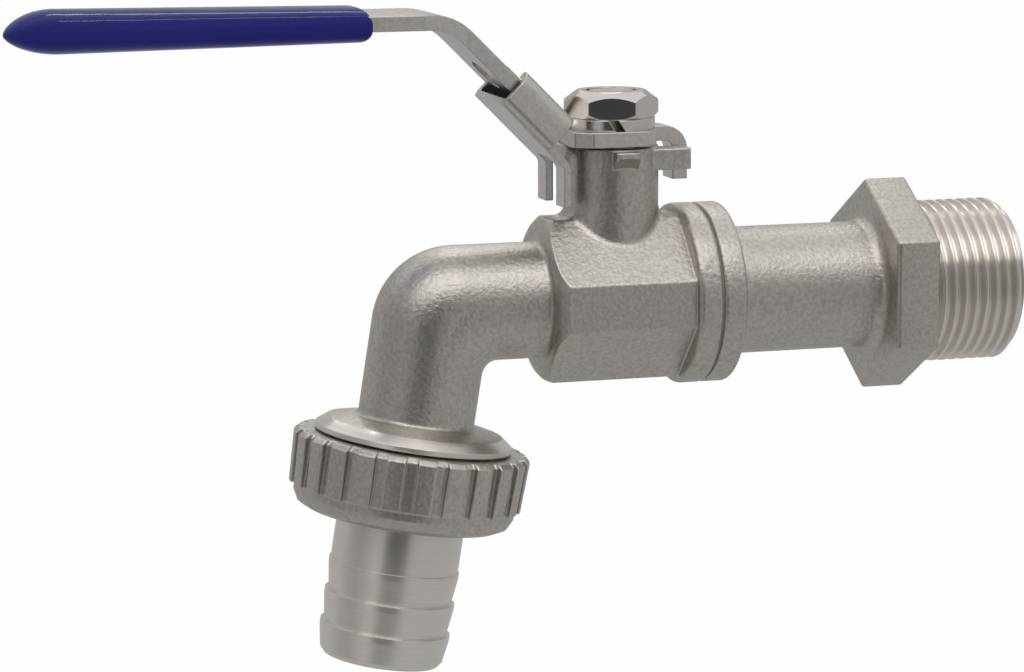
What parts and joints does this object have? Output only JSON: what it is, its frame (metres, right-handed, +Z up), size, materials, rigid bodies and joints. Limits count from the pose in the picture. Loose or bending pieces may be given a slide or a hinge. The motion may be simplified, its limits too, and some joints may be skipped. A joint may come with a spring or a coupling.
{
  "type": "ball-valve garden tap",
  "caption": "Stainless ball-valve garden tap with a bent-down spout, a dipped lever with a lock slide, and a ribbed union nut holding a barbed hose tail.",
  "frame": {"origin": "on the pipe axis where the inlet thread starts, at the spanner hexagon's outer face", "axes": "+X out along the inlet thread, +Z up along the stem, spout towards -X"},
  "size_m": [0.163, 0.0378, 0.1058],
  "materials": {
    "cast_stainless": "bead-blasted investment casting",
    "turned_stainless": "turned",
    "sheet_stainless": "stamped and tumbled sheet",
    "bright_stainless": "bright drawn",
    "blue_vinyl": "dipped, glossy",
    "ptfe": "white fluoropolymer",
    "rubber": "black nitrile"
  },
  "bodies": {
    "tap_body": {"valve_body": "cast_stainless", "inlet_connector": "cast_stainless", "body_gasket": "ptfe", "inlet_seat": "ptfe", "outlet_seat": "ptfe", "thrust_washer": "ptfe", "packing_ring_lower": "ptfe", "packing_ring_upper": "ptfe", "gland_bush": "turned_stainless", "gland_nut": "turned_stainless"},
    "lever": {"lever": "sheet_stainless", "lever_grip": "blue_vinyl", "stem": "turned_stainless", "ball": "bright_stainless", "spring_washer": "bright_stainless", "stem_nut": "bright_stainless"},
    "lock_slide": {"lock_slide": "sheet_stainless"},
    "hose_tail": {"hose_tail": "turned_stainless", "hose_washer": "rubber"},
    "coupling_nut": {"coupling_nut": "cast_stainless"}
  },
  "joints": [
    {"name": "lever_turn", "type": "hinge", "parent": "tap_body", "child": "lever", "pos_m": [-0.0507, 0, 0], "axis": [0, 0, 1], "range_deg": [0, 90]},
    {"name": "lock_slide_travel", "type": "slide", "parent": "lever", "child": "lock_slide", "axis": [-0.7071, 0, 0.7071], "range_m": [0, 0.009]},
    {"name": "hose_tail_draw", "type": "slide", "parent": "tap_body", "child": "hose_tail", "axis": [-0.1599, 0, -0.9871], "range_m": [0, 0.00816]},
    {"name": "coupling_nut_turn", "type": "hinge", "parent": "hose_tail", "child": "coupling_nut", "pos_m": [-0.08468, 0, -0.02764], "axis": [-0.1599, 0, -0.9871], "range_deg": [0, 1620]}
  ],
  "couplings": [
    {"joint": "coupling_nut_turn", "follows": "hose_tail_draw", "rad_per_m": 3463.7}
  ]
}
